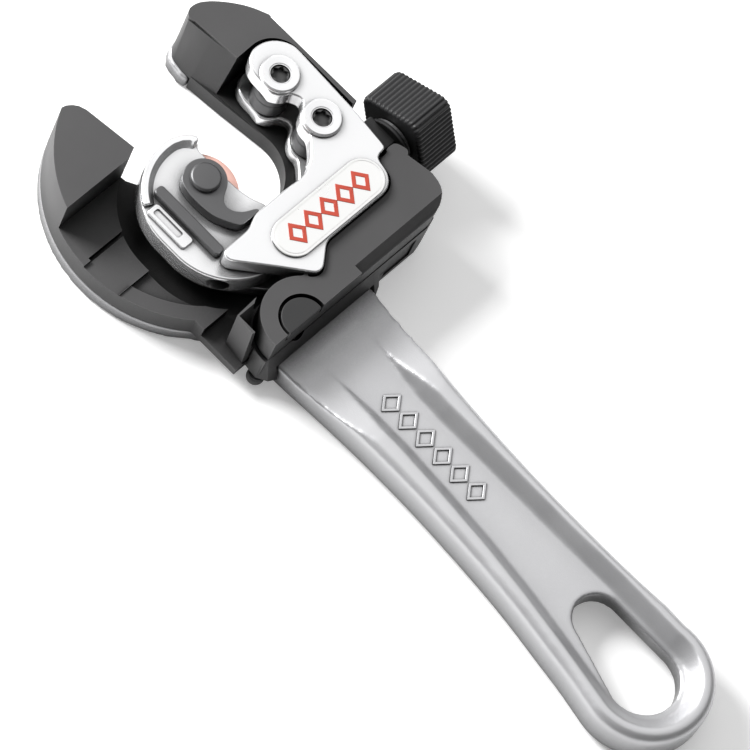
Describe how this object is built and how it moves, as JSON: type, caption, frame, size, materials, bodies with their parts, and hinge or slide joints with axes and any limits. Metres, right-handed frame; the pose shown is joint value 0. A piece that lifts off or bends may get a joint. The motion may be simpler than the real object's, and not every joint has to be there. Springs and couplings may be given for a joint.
{
  "type": "pipe cutter",
  "caption": "Close-quarters tube cutter with a U-shaped throat, rollers and a screw-fed cutting wheel, held in the head of a cast lever handle.",
  "frame": {"origin": "centre of the bounding box in plan, on the flat back face of the casting", "axes": "+X from the jaws to the end of the handle, +Y from the cutting wheel to the feed knob, +Z from the back face to the front"},
  "size_m": [0.2386, 0.106, 0.0303],
  "materials": {
    "cast_aluminium": "fine blasted casting, satin",
    "black_plastic": "moulded, fine grain",
    "knob_plastic": "moulded, ribbed",
    "satin_chrome": "bright satin plate",
    "badge": "bright satin with a red motif",
    "dark_steel": "blackened",
    "wheel_steel": "ground edge with a copper tint",
    "spring_steel": "drawn wire",
    "zinc": "zinc plated"
  },
  "bodies": {
    "head_and_handle": {"handle_casting": "cast_aluminium", "head_shell": "black_plastic", "shell_screw_1": "zinc", "shell_screw_2": "zinc", "shell_screw_3": "zinc", "shell_screw_4": "zinc", "barrel_plug": "knob_plastic", "latch_spring": "spring_steel"},
    "latch": {"latch_lever": "black_plastic", "latch_pivot_pin": "knob_plastic"},
    "cutter": {"cutter_frame": "satin_chrome", "badge_plate": "badge", "roller_screw_1": "satin_chrome", "roller_screw_2": "satin_chrome", "knob_collar": "knob_plastic", "feed_spring": "spring_steel", "spring_washer": "dark_steel"},
    "roller_one": {"roller_1": "dark_steel"},
    "roller_two": {"roller_2": "dark_steel"},
    "knob": {"feed_knob": "knob_plastic", "feed_screw": "dark_steel", "thrust_washer": "dark_steel", "knob_pin": "spring_steel"},
    "slide": {"slide_body": "satin_chrome", "wheel_arm": "dark_steel", "slide_bar": "dark_steel", "feed_nut": "zinc"},
    "wheel": {"cutter_wheel": "wheel_steel"},
    "pin": {"wheel_pin": "dark_steel"}
  },
  "joints": [
    {"name": "latch_pivot", "type": "hinge", "parent": "head_and_handle", "child": "latch", "pos_m": [-0.03623, -0.02302, 0.02], "axis": [0, 0, 1], "range_deg": [-25, 0], "stiffness_Nm_per_rad": 0.05, "springref_deg": 17.19},
    {"name": "cutter_lift", "type": "slide", "parent": "head_and_handle", "child": "cutter", "axis": [0, 0, 1], "range_m": [0, 0.03]},
    {"name": "roller_spin_1", "type": "hinge", "parent": "cutter", "child": "roller_one", "pos_m": [-0.08793, 0.02288, 0.0165], "axis": [0, 0, 1], "continuous": true},
    {"name": "roller_spin_2", "type": "hinge", "parent": "cutter", "child": "roller_two", "pos_m": [-0.07112, 0.02258, 0.0165], "axis": [0, 0, 1], "continuous": true},
    {"name": "knob_turn", "type": "hinge", "parent": "cutter", "child": "knob", "pos_m": [-0.05622, 0.04398, 0.0172], "axis": [0, 1, 0], "range_deg": [-2161, 1038]},
    {"name": "slide_feed", "type": "slide", "parent": "cutter", "child": "slide", "axis": [0, 1, 0], "range_m": [-0.0072, 0.015]},
    {"name": "wheel_spin", "type": "hinge", "parent": "slide", "child": "wheel", "pos_m": [-0.07913, -0.01452, 0.0182], "axis": [0, 0, 1], "continuous": true},
    {"name": "pin_pull", "type": "slide", "parent": "slide", "child": "pin", "axis": [0, 0, 1], "range_m": [0, 0.013]}
  ],
  "couplings": [
    {"joint": "knob_turn", "follows": "slide_feed", "rad_per_m": -2513.3}
  ]
}
